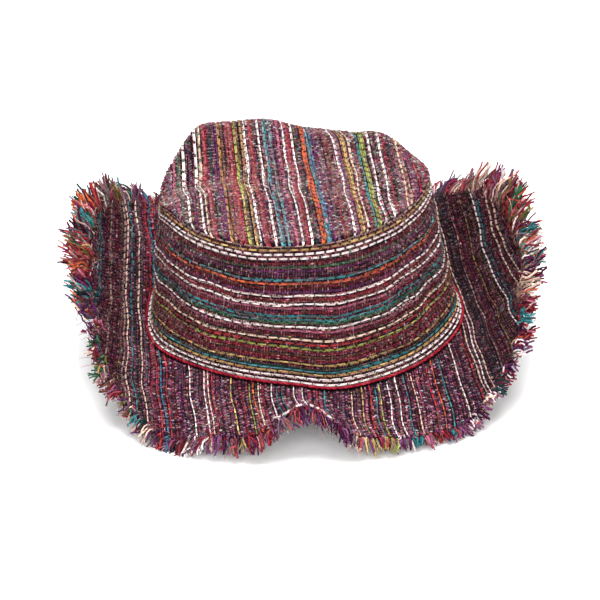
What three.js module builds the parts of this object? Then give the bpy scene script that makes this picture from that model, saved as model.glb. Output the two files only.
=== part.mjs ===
// A soft sun hat of hand-woven striped cotton, as it rests by itself on a flat surface.
// The brim curls up at both sides, folds up sharply at the middle of the front, and ends in
// a frayed fringe. Millimetres, +Z up, the front of the hat towards -Y.
// A bearing is the direction seen from above, in degrees: 0 at the front, 90 at the right (+X).

import * as THREE from 'three';

// Cloth and gaps
const CLOTH = 2; // two layers of hand-woven cotton, sewn back to back
const SEAM_GAP = 0.35; // between pieces that are sewn together
const COLUMN_STEP = 4.5; // degrees of bearing between two columns of faces, at most

// Crown: the seam between side and brim, and the seam between side and tip
const CROWN = [
  { bearing: -160, baseRadius: 98, baseHeight: 30, topRadius: 88, topHeight: 121 },
  { bearing: -135, baseRadius: 96, baseHeight: 30, topRadius: 88, topHeight: 122 },
  { bearing: -112, baseRadius: 94, baseHeight: 29, topRadius: 86, topHeight: 112 },
  { bearing: -90, baseRadius: 92, baseHeight: 25, topRadius: 84, topHeight: 105 },
  { bearing: -65, baseRadius: 94, baseHeight: 23, topRadius: 85, topHeight: 113 },
  { bearing: -40, baseRadius: 95, baseHeight: 25, topRadius: 87, topHeight: 111 },
  { bearing: -20, baseRadius: 99, baseHeight: 26, topRadius: 88, topHeight: 110 },
  { bearing: 0, baseRadius: 101, baseHeight: 24, topRadius: 88, topHeight: 111 },
  { bearing: 15, baseRadius: 103, baseHeight: 20, topRadius: 88, topHeight: 112 },
  { bearing: 32, baseRadius: 105, baseHeight: 21, topRadius: 87, topHeight: 114 },
  { bearing: 60, baseRadius: 107, baseHeight: 23, topRadius: 83, topHeight: 115 },
  { bearing: 90, baseRadius: 110, baseHeight: 25, topRadius: 85, topHeight: 118 },
  { bearing: 115, baseRadius: 109, baseHeight: 28, topRadius: 86, topHeight: 115 },
  { bearing: 140, baseRadius: 105, baseHeight: 29, topRadius: 88, topHeight: 116 },
  { bearing: 180, baseRadius: 101, baseHeight: 29, topRadius: 88, topHeight: 117 },
];
const CROWN_LEAN = 3; // the top stands this far to the right of the base
const HEM_FLARE = 3; // the foot of the side stands out by this much
const HEM_SHARE = 0.2; // over this share of the side's height
const SIDE_ROWS = 6;

// Soft dents and swells of the side: depth is inwards, height a share of the side's height
const SIDE_DENTS = [
  { bearing: -62, height: 0.35, spread: 16, reach: 0.3, depth: 2.5 },
  { bearing: 68, height: 0.3, spread: 14, reach: 0.3, depth: 4 },
  { bearing: 20, height: 0.25, spread: 14, reach: 0.25, depth: -2 },
  { bearing: 150, height: 0.5, spread: 22, reach: 0.3, depth: 3 },
  { bearing: -150, height: 0.45, spread: 20, reach: 0.3, depth: 2 },
];

// Crown tip: its middle, and its soft swells and dents (x and y from the tip's middle)
const TIP_MIDDLE = 114;
const TIP_DOME = 5;
const TIP_ROWS = 5;
const TIP_FOLDS = [
  { x: -52, y: 47, spread: 28, rise: 12 },
  { x: -12, y: 62, spread: 28, rise: 6 },
  { x: 50, y: 46, spread: 28, rise: 8 },
  { x: 12, y: 22, spread: 24, rise: -4 },
  { x: -50, y: -25, spread: 26, rise: 3 },
];

// Brim: slopes of the cloth in degrees, up positive, at the crown and at the woven edge,
// then the length and the slope of the frayed ends beyond that edge
const BRIM_WIDTH = 65;
const BRIM_ROWS = 5;
const ARC_STEPS = 12; // short straight steps that the brim's arc is summed from
const BRIM = [
  { bearing: -152, slopeAtCrown: 2, slopeAtEdge: 12, fringe: 14, fringeSlope: 0 },
  { bearing: -136, slopeAtCrown: 18, slopeAtEdge: 41, fringe: 15, fringeSlope: 40 },
  { bearing: -122, slopeAtCrown: 30, slopeAtEdge: 55, fringe: 15, fringeSlope: 45 },
  { bearing: -108, slopeAtCrown: 34, slopeAtEdge: 69, fringe: 16, fringeSlope: 45 },
  { bearing: -92, slopeAtCrown: 35, slopeAtEdge: 77, fringe: 19, fringeSlope: 35 },
  { bearing: -75, slopeAtCrown: 25, slopeAtEdge: 81, fringe: 20, fringeSlope: 25 },
  { bearing: -58, slopeAtCrown: -1, slopeAtEdge: 78, fringe: 19, fringeSlope: 20 },
  { bearing: -42, slopeAtCrown: -22, slopeAtEdge: 33, fringe: 13, fringeSlope: -20 },
  { bearing: -28, slopeAtCrown: -16, slopeAtEdge: -7, fringe: 15, fringeSlope: -46 },
  { bearing: -16, slopeAtCrown: -11, slopeAtEdge: 1, fringe: 16, fringeSlope: -55 },
  { bearing: -7, slopeAtCrown: -6, slopeAtEdge: 6, fringe: 20, fringeSlope: -68 },
  { bearing: 2, slopeAtCrown: 2, slopeAtEdge: 31, fringe: 22, fringeSlope: -80 },
  { bearing: 11, slopeAtCrown: -5, slopeAtEdge: 15, fringe: 18, fringeSlope: -70 },
  { bearing: 22, slopeAtCrown: -12, slopeAtEdge: 7, fringe: 14, fringeSlope: -60 },
  { bearing: 35, slopeAtCrown: -15, slopeAtEdge: 1, fringe: 13, fringeSlope: -52 },
  { bearing: 50, slopeAtCrown: -15, slopeAtEdge: 35, fringe: 12, fringeSlope: 5 },
  { bearing: 65, slopeAtCrown: 3, slopeAtEdge: 72, fringe: 18, fringeSlope: 20 },
  { bearing: 80, slopeAtCrown: 24, slopeAtEdge: 79, fringe: 20, fringeSlope: 28 },
  { bearing: 100, slopeAtCrown: 35, slopeAtEdge: 82, fringe: 19, fringeSlope: 40 },
  { bearing: 125, slopeAtCrown: 27, slopeAtEdge: 56, fringe: 16, fringeSlope: 45 },
  { bearing: 150, slopeAtCrown: 4, slopeAtEdge: 22, fringe: 14, fringeSlope: 0 },
  { bearing: 180, slopeAtCrown: -17, slopeAtEdge: -15, fringe: 14, fringeSlope: -50 },
];

// Height, in the tables' own heights, of the surface that the lowest locks lie flat on
const REST_HEIGHT = 5;

// Fringe: a frayed strip along the woven edge, and one lock of yarn ends for each column
const FRINGE_STRIP = 4; // width of the strip that the locks grow from
const LOCK_SHARE = 0.84; // of the strip's edge that is a lock's root
const LOCK_BEND = 0.5; // where along its length a lock bends to its final slope
const LOCK_WAIST = 0.85; // width there, as a share of the root's
const LOCK_TIP = 0.5; // width at the tip, as a share of the root's
const LOCK_SWAY = 2; // a tip leans this far to one side or the other, at most
const LOCK_UNEVENNESS = 0.12; // share by which lengths differ
const SWAY_TURN = 2.4; // radians from one lock's lean to the next
const LENGTH_TURN = 4.1; // radians from one lock's length to the next

// Piping: the red corded line in the seam at the foot of the crown
const PIPING_RADIUS = 1;
const PIPING_SIDES = 5;
const PIPING_SHARE = 0.03; // of the side's height, over which the piping leans on it

const COLOURS = { cloth: 0x6b4150, side: 0x70404c, brim: 0x643a4c, fringe: 0x7d4654, piping: 0xb3282f };

const radians = THREE.MathUtils.degToRad;

// A smooth curve all the way round through one column of a table
function around(table, column) {
  const count = table.length;
  const row = (i) => ({
    bearing: table[(i + count) % count].bearing + 360 * Math.floor(i / count),
    value: table[(i + count) % count][column],
  });
  return (bearing) => {
    let turned = bearing;
    while (turned < table[0].bearing) turned += 360;
    while (turned >= table[0].bearing + 360) turned -= 360;
    let i = count - 1;
    while (row(i).bearing > turned) i -= 1;
    const [before, from, to, after] = [row(i - 1), row(i), row(i + 1), row(i + 2)];
    const span = to.bearing - from.bearing;
    const t = (turned - from.bearing) / span;
    const leave = ((to.value - before.value) / (to.bearing - before.bearing)) * span;
    const arrive = ((after.value - from.value) / (after.bearing - from.bearing)) * span;
    return (
      (2 * t ** 3 - 3 * t ** 2 + 1) * from.value + (t ** 3 - 2 * t ** 2 + t) * leave
      + (3 * t ** 2 - 2 * t ** 3) * to.value + (t ** 3 - t ** 2) * arrive
    );
  };
}

const baseRadius = around(CROWN, 'baseRadius');
const baseHeight = around(CROWN, 'baseHeight');
const topRadius = around(CROWN, 'topRadius');
const topHeight = around(CROWN, 'topHeight');
const slopeAtCrown = around(BRIM, 'slopeAtCrown');
const slopeAtEdge = around(BRIM, 'slopeAtEdge');
const fringeLength = around(BRIM, 'fringe');
const fringeSlope = around(BRIM, 'fringeSlope');

// Every row of the brim's table is a column of faces, with even steps between two rows
function columnBearings() {
  const bearings = [];
  BRIM.forEach((row, i) => {
    const next = i + 1 < BRIM.length ? BRIM[i + 1].bearing : BRIM[0].bearing + 360;
    const steps = Math.round((next - row.bearing) / COLUMN_STEP);
    for (let k = 0; k < steps; k += 1) bearings.push(row.bearing + ((next - row.bearing) * k) / steps);
  });
  return bearings;
}

const COLUMNS = columnBearings();

// The point at a radius and a height on one bearing
function place(bearing, radius, height) {
  const turn = radians(bearing);
  return new THREE.Vector3(radius * Math.sin(turn), -radius * Math.cos(turn), height);
}

// Shortest way round from one bearing to another, in degrees
function turnBetween(from, to) {
  return THREE.MathUtils.euclideanModulo(to - from + 180, 360) - 180;
}

// Radius of the side's outer face at a share of its height, before its dents
function sideRadius(bearing, share) {
  const waist = baseRadius(bearing) - HEM_FLARE;
  const hem = HEM_FLARE * Math.max(0, 1 - share / HEM_SHARE) ** 2;
  return THREE.MathUtils.lerp(waist, topRadius(bearing), share) + hem;
}

function sideHeight(bearing, share) {
  return THREE.MathUtils.lerp(baseHeight(bearing), topHeight(bearing), share);
}

// The side's outer face at a share of its height, moved inwards by a depth
function sidePoint(bearing, share, depth) {
  const ends = Math.sin(Math.PI * share);
  let radius = sideRadius(bearing, share) - depth;
  SIDE_DENTS.forEach((dent) => {
    const across = turnBetween(dent.bearing, bearing) / dent.spread;
    const up = (share - dent.height) / dent.reach;
    radius -= dent.depth * ends * Math.exp(-(across ** 2) - up ** 2);
  });
  const point = place(bearing, radius, sideHeight(bearing, share));
  point.x += CROWN_LEAN * share;
  return point;
}

// The tip's face at a share of the way from its middle to its seam, raised by a lift
function tipPoint(bearing, share, lift) {
  const point = place(bearing, topRadius(bearing) * share, 0);
  const flat = 1 - share ** 2;
  let height = TIP_MIDDLE + (topHeight(bearing) - TIP_MIDDLE) * share ** 2 + TIP_DOME * flat;
  TIP_FOLDS.forEach((fold) => {
    const away = Math.hypot(point.x - fold.x, point.y - fold.y) / fold.spread;
    height += fold.rise * (1 - share ** 4) * Math.exp(-(away ** 2));
  });
  point.x += CROWN_LEAN;
  point.z = height + lift;
  return point;
}

// The brim's section on one bearing: an arc whose slope turns evenly from crown to edge.
// It gives radius, height and slope at a distance along the cloth from the crown.
function brimSection(bearing, along) {
  const start = radians(slopeAtCrown(bearing));
  const bend = (radians(slopeAtEdge(bearing)) - start) / BRIM_WIDTH;
  const step = Math.min(along, BRIM_WIDTH) / ARC_STEPS;
  let radius = baseRadius(bearing);
  let height = baseHeight(bearing) - SEAM_GAP;
  for (let k = 0; k < ARC_STEPS; k += 1) {
    const slope = start + bend * step * (k + 0.5);
    radius += step * Math.cos(slope);
    height += step * Math.sin(slope);
  }
  const slope = start + bend * Math.min(along, BRIM_WIDTH);
  const beyond = Math.max(0, along - BRIM_WIDTH);
  return {
    radius: radius + beyond * Math.cos(slope),
    height: height + beyond * Math.sin(slope),
    slope,
  };
}

// A point below the brim's upper face, square to it
function brimPoint(bearing, along, depth) {
  const { radius, height, slope } = brimSection(bearing, along);
  return place(bearing, radius + depth * Math.sin(slope), height - depth * Math.cos(slope));
}

// Collects corners and faces, and gives a closed geometry
class Skin {
  constructor() {
    this.corners = [];
    this.faces = [];
  }

  corner(point) {
    this.corners.push(point.x, point.y, point.z);
    return this.corners.length / 3 - 1;
  }

  triangle(a, b, c) {
    this.faces.push(a, b, c);
  }

  quad(a, b, c, d) {
    this.triangle(a, b, c);
    this.triangle(a, c, d);
  }

  // The wall between two loops of as many corners, one on each column
  band(from, to) {
    for (let i = 0; i < from.length; i += 1) {
      const next = (i + 1) % from.length;
      this.quad(from[i], from[next], to[next], to[i]);
    }
  }

  geometry() {
    const geometry = new THREE.BufferGeometry();
    geometry.setAttribute('position', new THREE.Float32BufferAttribute(this.corners, 3));
    geometry.setIndex(this.faces);
    geometry.computeVertexNormals();
    return geometry;
  }
}

// A ring whose section on each bearing is a closed loop of points, clockwise with the
// radius to the right and the height upwards
function ringGeometry(sectionAt) {
  const skin = new Skin();
  const sections = COLUMNS.map((bearing) => sectionAt(bearing).map((point) => skin.corner(point)));
  sections.forEach((section, i) => {
    const next = sections[(i + 1) % sections.length];
    section.forEach((corner, k) => {
      const after = (k + 1) % section.length;
      skin.quad(corner, section[after], next[after], next[k]);
    });
  });
  return skin.geometry();
}

// Even shares from 0 to 1
function shares(rows) {
  return Array.from({ length: rows + 1 }, (_, i) => i / rows);
}

// The side: one strip of cloth, sewn into a ring
function sideGeometry() {
  const up = shares(SIDE_ROWS);
  return ringGeometry((bearing) => [
    ...up.map((share) => sidePoint(bearing, share, CLOTH)),
    ...up.toReversed().map((share) => sidePoint(bearing, share, 0)),
  ]);
}

// The tip: an oval panel that lies on the side's upper edge
function tipGeometry() {
  const skin = new Skin();
  const out = shares(TIP_ROWS).slice(1);
  const faces = [SEAM_GAP + CLOTH, SEAM_GAP].map((lift) => ({
    middle: skin.corner(tipPoint(0, 0, lift)),
    loops: out.map((share) => COLUMNS.map((bearing) => skin.corner(tipPoint(bearing, share, lift)))),
  }));
  const [upper, under] = faces;
  COLUMNS.forEach((_, i) => {
    const next = (i + 1) % COLUMNS.length;
    skin.triangle(upper.middle, upper.loops[0][i], upper.loops[0][next]);
    skin.triangle(under.middle, under.loops[0][next], under.loops[0][i]);
  });
  for (let k = 1; k < TIP_ROWS; k += 1) {
    skin.band(upper.loops[k], upper.loops[k - 1]);
    skin.band(under.loops[k - 1], under.loops[k]);
  }
  skin.band(under.loops[TIP_ROWS - 1], upper.loops[TIP_ROWS - 1]);
  return skin.geometry();
}

// The brim: a flange under the side's foot, then the arc out to the woven edge
function brimGeometry() {
  const out = shares(BRIM_ROWS).map((share) => share * BRIM_WIDTH);
  return ringGeometry((bearing) => {
    const radius = baseRadius(bearing) - CLOTH;
    const height = baseHeight(bearing) - SEAM_GAP;
    return [
      place(bearing, radius, height),
      ...out.map((along) => brimPoint(bearing, along, 0)),
      ...out.toReversed().map((along) => brimPoint(bearing, along, CLOTH)),
      place(bearing, radius, height - CLOTH),
    ];
  });
}

// The piping lies in the corner between the side's foot and the brim
function pipingGeometry() {
  return ringGeometry((bearing) => {
    const foot = { radius: baseRadius(bearing), height: baseHeight(bearing) };
    const run = sideRadius(bearing, PIPING_SHARE) - foot.radius;
    const rise = sideHeight(bearing, PIPING_SHARE) - foot.height;
    const wall = Math.atan2(rise, run);
    const cloth = radians(slopeAtCrown(bearing));
    const away = (PIPING_RADIUS + SEAM_GAP) / Math.sin((wall - cloth) / 2);
    const middle = (wall + cloth) / 2;
    return Array.from({ length: PIPING_SIDES }, (_, k) => {
      const turn = middle - (2 * Math.PI * k) / PIPING_SIDES;
      return place(
        bearing,
        foot.radius + away * Math.cos(middle) + PIPING_RADIUS * Math.cos(turn),
        foot.height + away * Math.sin(middle) + PIPING_RADIUS * Math.sin(turn),
      );
    });
  });
}

// Four corners across the fringe's strip or one of its locks: upper pair, then under pair
function crossing(middle, across, upwards, width) {
  const half = across.clone().multiplyScalar(width / 2);
  const thick = upwards.clone().multiplyScalar(CLOTH / 2);
  const corners = [
    middle.clone().sub(half).add(thick),
    middle.clone().add(half).add(thick),
    middle.clone().add(half).sub(thick),
    middle.clone().sub(half).sub(thick),
  ];
  // what would pass below the surface lies flat on it instead
  corners.slice(0, 2).forEach((corner) => { corner.z = Math.max(corner.z, REST_HEIGHT + CLOTH); });
  corners.slice(2).forEach((corner) => { corner.z = Math.max(corner.z, REST_HEIGHT); });
  return corners;
}

// The fringe: a strip along the woven edge, with a lock of frayed ends on each stretch of it
function fringeGeometry() {
  const skin = new Skin();
  const inner = BRIM_WIDTH + SEAM_GAP;
  const outer = inner + FRINGE_STRIP;
  const strip = (bearing) => [
    brimPoint(bearing, inner, 0),
    brimPoint(bearing, outer, 0),
    brimPoint(bearing, outer, CLOTH),
    brimPoint(bearing, inner, CLOTH),
  ];
  const stations = [];
  COLUMNS.forEach((bearing, i) => {
    const here = strip(bearing);
    const there = strip(COLUMNS[(i + 1) % COLUMNS.length]);
    [(1 - LOCK_SHARE) / 2, (1 + LOCK_SHARE) / 2].forEach((share) => {
      const points = here.map((point, k) => point.clone().lerp(there[k], share));
      stations.push({ points, corners: points.map((point) => skin.corner(point)) });
    });
  });
  stations.forEach((station, i) => {
    const next = stations[(i + 1) % stations.length];
    [0, 1, 2, 3].forEach((k) => {
      const after = (k + 1) % 4;
      const isLockRoot = k === 1 && i % 2 === 0;
      if (isLockRoot) return;
      skin.quad(station.corners[k], station.corners[after], next.corners[after], next.corners[k]);
    });
  });
  COLUMNS.forEach((bearing, i) => {
    const end = COLUMNS[(i + 1) % COLUMNS.length];
    const middle = bearing + turnBetween(bearing, end) / 2;
    const [first, second] = [stations[2 * i], stations[2 * i + 1]];
    let ring = [first.corners[1], second.corners[1], second.corners[2], first.corners[2]];
    const root = first.points[1].clone().add(second.points[1]).add(second.points[2]).add(first.points[2]);
    root.multiplyScalar(1 / 4);
    const across = second.points[1].clone().sub(first.points[1]);
    const width = across.length();
    across.normalize();
    const length = (fringeLength(middle) - FRINGE_STRIP) * (1 + LOCK_UNEVENNESS * Math.sin(LENGTH_TURN * i));
    const finalSlope = radians(fringeSlope(middle));
    const edgeSlope = radians(slopeAtEdge(middle));
    const sections = [
      { along: LOCK_BEND, slope: (edgeSlope + finalSlope) / 2, share: LOCK_WAIST },
      { along: 1 - LOCK_BEND, slope: finalSlope, share: LOCK_TIP },
    ];
    const at = root.clone();
    sections.forEach(({ along, slope, share }) => {
      const outwards = place(middle, Math.cos(slope), Math.sin(slope));
      at.addScaledVector(outwards, along * length);
      at.addScaledVector(across, (LOCK_SWAY / 2) * Math.sin(SWAY_TURN * i));
      const upwards = across.clone().cross(outwards).negate().normalize();
      const corners = crossing(at, across, upwards, width * share).map((point) => skin.corner(point));
      corners.forEach((corner, k) => {
        const after = (k + 1) % 4;
        skin.quad(ring[k], corners[k], corners[after], ring[after]);
      });
      ring = corners;
    });
    skin.quad(ring[0], ring[3], ring[2], ring[1]);
  });
  return skin.geometry();
}

function piece(name, geometry, colour) {
  const material = new THREE.MeshStandardMaterial({ color: colour, roughness: 0.9, metalness: 0 });
  const mesh = new THREE.Mesh(geometry, material);
  mesh.name = name;
  return mesh;
}

const hat = new THREE.Group();
hat.add(
  piece('crown_tip', tipGeometry(), COLOURS.cloth),
  piece('crown_side', sideGeometry(), COLOURS.side),
  piece('base_piping', pipingGeometry(), COLOURS.piping),
  piece('brim', brimGeometry(), COLOURS.brim),
  piece('brim_fringe', fringeGeometry(), COLOURS.fringe),
);

// The origin is below the middle of the whole hat, on the surface that it rests on
const extent = new THREE.Box3().setFromObject(hat);
const middle = extent.getCenter(new THREE.Vector3());
hat.position.set(-middle.x, -middle.y, -extent.min.z);
hat.updateMatrixWorld(true);

export default hat;
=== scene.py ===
import math

import bpy
import numpy as np
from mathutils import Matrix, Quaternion, Vector


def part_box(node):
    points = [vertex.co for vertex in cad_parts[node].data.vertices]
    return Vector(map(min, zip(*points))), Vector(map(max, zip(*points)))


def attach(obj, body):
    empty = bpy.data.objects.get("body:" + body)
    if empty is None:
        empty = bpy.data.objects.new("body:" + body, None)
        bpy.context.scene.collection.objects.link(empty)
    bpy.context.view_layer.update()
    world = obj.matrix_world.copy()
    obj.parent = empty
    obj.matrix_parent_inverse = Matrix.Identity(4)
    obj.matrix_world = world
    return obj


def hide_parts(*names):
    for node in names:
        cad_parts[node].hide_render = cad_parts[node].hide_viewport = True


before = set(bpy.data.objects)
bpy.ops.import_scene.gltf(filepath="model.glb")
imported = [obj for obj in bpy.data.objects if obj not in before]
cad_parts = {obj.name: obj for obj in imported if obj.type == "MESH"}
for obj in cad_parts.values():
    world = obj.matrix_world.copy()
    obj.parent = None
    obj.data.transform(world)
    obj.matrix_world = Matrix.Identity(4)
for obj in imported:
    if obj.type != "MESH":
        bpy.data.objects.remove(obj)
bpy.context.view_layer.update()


# The table top: a plain pale studio surface under broad soft light, with the camera in front
# of the hat, a little above it, looking through a long lens. Named sizes, here and in all the
# sections, are in mm, and lamps and nodes take theirs in metres.
MM = 0.001
AIM = (-3.8, 1.9, 29.2)
CAMERA_DISTANCE = 1658
CAMERA_ELEVATION = 24.9
CAMERA_ROLL = -1.0


class Thread:
    """A socket in a material's nodes. Python's own signs add and scale what it carries."""

    def __init__(self, tree, socket=None):
        self.tree = tree
        self.socket = socket

    def node(self, kind, settings=None, sockets=None, out=0):
        """Adds a node: its settings first, then a value or a link for each socket named."""
        made = self.tree.nodes.new(kind)
        for name, value in (settings or {}).items():
            if name in ("stops", "bands"):
                ramp = made.color_ramp
                ramp.interpolation = "LINEAR" if name == "stops" else "CONSTANT"
                while len(ramp.elements) < len(value):
                    ramp.elements.new(1.0)
                for stop, (at, colour) in zip(ramp.elements, value):
                    stop.position = at
                    stop.color = (*colour, 1.0)
            else:
                setattr(made, name, value)
        for name, value in (sockets or {}).items():
            if isinstance(value, Thread):
                self.tree.links.new(value.socket, made.inputs[name])
            else:
                made.inputs[name].default_value = value
        return Thread(self.tree, made.outputs[out])

    def beside(self, number):
        """Another output of the node that this one comes from."""
        return Thread(self.tree, self.socket.node.outputs[number])

    def maths(self, operation, other=0.0):
        """What a Math operation makes of this socket, or of it and another value."""
        return self.node("ShaderNodeMath", {"operation": operation}, {0: self, 1: other})

    def __add__(self, other):
        return self.maths("ADD", other)

    __radd__ = __add__

    def __sub__(self, other):
        return self.maths("SUBTRACT", other)

    def __rsub__(self, other):
        return self.node("ShaderNodeMath", {"operation": "SUBTRACT"}, {0: other, 1: self})

    def __mul__(self, other):
        return self.maths("MULTIPLY", other)

    __rmul__ = __mul__


def new_material(name, roughness, sheen=0.0):
    """A material with one Principled shader. Returns it with a Thread to draw its nodes from."""
    material = bpy.data.materials.new(name)
    material.use_nodes = True
    shader = material.node_tree.nodes["Principled BSDF"]
    shader.inputs["Roughness"].default_value = roughness
    shader.inputs["Specular IOR Level"].default_value = 0.05
    shader.inputs["Sheen Weight"].default_value = sheen
    shader.inputs["Sheen Roughness"].default_value = 0.5
    return material, shader, Thread(material.node_tree)


camera = bpy.data.objects.new("camera", bpy.data.cameras.new("camera"))
bpy.context.scene.collection.objects.link(camera)
camera.data.lens = 155
camera.rotation_mode = "QUATERNION"
camera.rotation_quaternion = (Quaternion((1, 0, 0), math.radians(90 - CAMERA_ELEVATION))
                              @ Quaternion((0, 0, 1), math.radians(CAMERA_ROLL)))
camera.location = (Vector(AIM) + camera.rotation_quaternion @ Vector((0, 0, CAMERA_DISTANCE))) * MM
bpy.context.scene.camera = camera

bpy.ops.object.select_all(action="DESELECT")
bpy.ops.mesh.primitive_plane_add(size=30)
table = bpy.context.object
table.name = "table_top"
paint, shader, nodes = new_material("pale_table", 0.6)
place = nodes.node("ShaderNodeTexCoord", out=3)
cloud = nodes.node("ShaderNodeTexNoise", sockets={"Vector": place, "Scale": 1.5, "Detail": 2.0})
shade = nodes.node("ShaderNodeValToRGB",
                   {"stops": [(0.3, (0.91, 0.91, 0.91)), (0.7, (0.94, 0.94, 0.938))]}, {"Fac": cloud})
paint.node_tree.links.new(shade.socket, shader.inputs["Base Color"])
shader.inputs["Emission Color"].default_value = (1.0, 1.0, 1.0, 1.0)
shader.inputs["Emission Strength"].default_value = 0.14
table.data.materials.append(paint)

for lamp, spot, size, watts in (("overhead", (0.05, -0.4, 1.9), 1.3, 60),
                                ("front_left", (-0.6, -2.0, 1.3), 0.9, 23),
                                ("front_right", (0.55, -2.0, 1.25), 0.9, 19),
                                ("behind", (0.0, 2.2, 1.3), 1.0, 18)):
    light = bpy.data.objects.new(lamp, bpy.data.lights.new(lamp, "AREA"))
    bpy.context.scene.collection.objects.link(light)
    light.data.size = size
    light.data.energy = watts
    light.location = spot
    light.rotation_mode = "QUATERNION"
    light.rotation_quaternion = Vector(spot).to_track_quat("Z", "Y")
studio = bpy.context.scene.world or bpy.data.worlds.new("studio")
bpy.context.scene.world = studio
studio.use_nodes = True
studio.node_tree.nodes["Background"].inputs["Color"].default_value = (1.0, 1.0, 1.0, 1.0)
studio.node_tree.nodes["Background"].inputs["Strength"].default_value = 0.3
bpy.context.scene.view_settings.view_transform = "Standard"


# The crown's side: one strip of hand-woven cotton, two layers thick, sewn into a ring. The
# bright warp yarns run round the head in floats of about 6 mm, between dull mixed yarns in
# plain weave, and the soft cloth sinks in and ripples a little.
CROWN = {  # the seams at the side's foot and top, on each bearing: 0 is the front, 90 the right
    "bearing": (-160, -135, -112, -90, -65, -40, -20, 0, 15, 32, 60, 90, 115, 140, 180),
    "base_radius": (98, 96, 94, 92, 94, 95, 99, 101, 103, 105, 107, 110, 109, 105, 101),
    "base_height": (30, 30, 29, 25, 23, 25, 26, 24, 20, 21, 23, 25, 28, 29, 29),
    "top_radius": (88, 88, 86, 84, 85, 87, 88, 88, 88, 87, 83, 85, 86, 88, 88),
    "top_height": (121, 122, 112, 105, 113, 111, 110, 111, 112, 114, 115, 118, 115, 116, 117),
}
DENTS = {  # height and reach are shares of the side's height, depth is inwards
    "bearing": (-62, 68, 20, 150, -150),
    "height": (0.35, 0.3, 0.25, 0.5, 0.45),
    "spread": (16, 14, 14, 22, 20),
    "reach": (0.3, 0.3, 0.25, 0.3, 0.3),
    "depth": (2.5, 4, -2, 3, 2),
}
CROWN_LEAN = 3  # how far the top stands to the right of the foot
HEM_FLARE = 3  # how far the foot spreads, over the lowest share of the height
HEM_SHARE = 0.2
SIDE_WIDTH = 92.0
SIDE_LENGTH = 600.0
CLOTH_CORE = 1.2  # the two layers without the yarns that stand off them
CLOTH_INSET = 0.45  # from the face that the yarns lie on down to the sheet
PITCH = 1.5  # from one warp yarn to the next, about
PICK = SIDE_LENGTH / 352  # from one weft yarn to the next
RIPPLE_DEPTH = 0.7  # about half the height of the small ripples
FLOAT_PICKS = 4  # a floating warp yarn goes under every fourth weft yarn
FLOAT_SHIFTS = (-0.28, -0.72, -1.36, 0.36)  # in picks, which draw out the float between two dips
YARN_FORMS = {  # mm: the height of a yarn in its dips and between them, then its width there
    "plain": (-0.7, 0.8, 0.6, 1.1), "bright": (-0.7, 0.65, 0.6, 1.05), "dull": (-0.6, 0.42, 0.4, 0.95),
}
CROSSING_REACH, CROSSING_HALF = 0.85, 0.38  # half the length and half the width of a weft crossing
SIDE_FUZZ = 2000  # fibres that stand off the side
DYES = {  # yarn colours, as linear light
    "white": (0.92, 0.76, 0.74), "cream": (0.76, 0.54, 0.42), "beige": (0.46, 0.29, 0.24),
    "yellow": (0.56, 0.37, 0.145), "ochre": (0.40, 0.23, 0.085), "orange": (0.62, 0.12, 0.045),
    "red": (0.41, 0.035, 0.04), "crimson": (0.25, 0.020, 0.036), "rose": (0.36, 0.07, 0.08),
    "pink": (0.50, 0.15, 0.22), "lime": (0.36, 0.39, 0.095), "green": (0.05, 0.15, 0.08),
    "bottle": (0.012, 0.05, 0.045), "teal": (0.04, 0.22, 0.24), "aqua": (0.125, 0.325, 0.36),
    "blue": (0.05, 0.18, 0.285), "purple": (0.12, 0.03, 0.11), "plum": (0.055, 0.010, 0.040),
    "maroon": (0.14, 0.014, 0.025), "mauve": (0.22, 0.07, 0.15), "grey": (0.16, 0.11, 0.14),
    "olive": (0.14, 0.11, 0.03), "brown": (0.13, 0.05, 0.03), "coal": (0.007, 0.003, 0.006),
}
HEATHER = (  # the dull yarns
    "plum", "coal", "maroon", "coal", "plum", "purple", "maroon", "coal", "brown", "plum", "maroon",
)
FLECKS = (  # the colours that are spun into them
    "grey", "beige", "purple", "crimson", "pink", "maroon", "purple", "green", "rose", "crimson", "grey",
    "bottle", "olive", "purple",
)
FLOATING = (  # the yarns that lie in floats
    "white", "cream", "beige", "yellow", "ochre", "orange", "red", "lime", "teal", "aqua", "blue",
)
WEFT = np.array([  # the thin weft yarns that show between the dull warp yarns
    (0.12, 0.05, 0.08), (0.04, 0.015, 0.03), (0.15, 0.08, 0.09), (0.21, 0.15, 0.16), (0.10, 0.02, 0.035),
    (0.035, 0.035, 0.045), (0.14, 0.04, 0.055), (0.12, 0.08, 0.06),
])
SIDE_STRIPES = (  # mm below the top seam
    (0.4, "beige"), (2.9, "yellow"), (5.8, "white"), (8.7, "white"), (12, "maroon"), (14.6, "green"),
    (17, "purple"), (19.6, "plum"), (22.7, "teal"), (25.4, "orange"), (28, "maroon"), (30.6, "purple"),
    (33.2, "white"), (36, "crimson"), (38.8, "white"), (41.4, "pink"), (44, "maroon"), (46.6, "teal"),
    (49, "teal"), (51, "green"), (53.6, "white"), (56.4, "pink"), (59, "maroon"), (62, "cream"),
    (64.8, "red"), (67.6, "lime"), (70.2, "crimson"), (72.8, "brown"), (75.4, "crimson"), (78, "yellow"),
    (80.6, "bottle"), (82.3, "teal"), (84.2, "yellow"), (86.8, "white"), (89.8, "white"),
)
SIDE_SLUBS = (  # thick places of the yarns: mm across and along, and how much thicker
    (46.6, -70, 1.0), (49, -25, 0.8), (49, 34, 0.8), (46.6, 88, 0.8),
)


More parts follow.
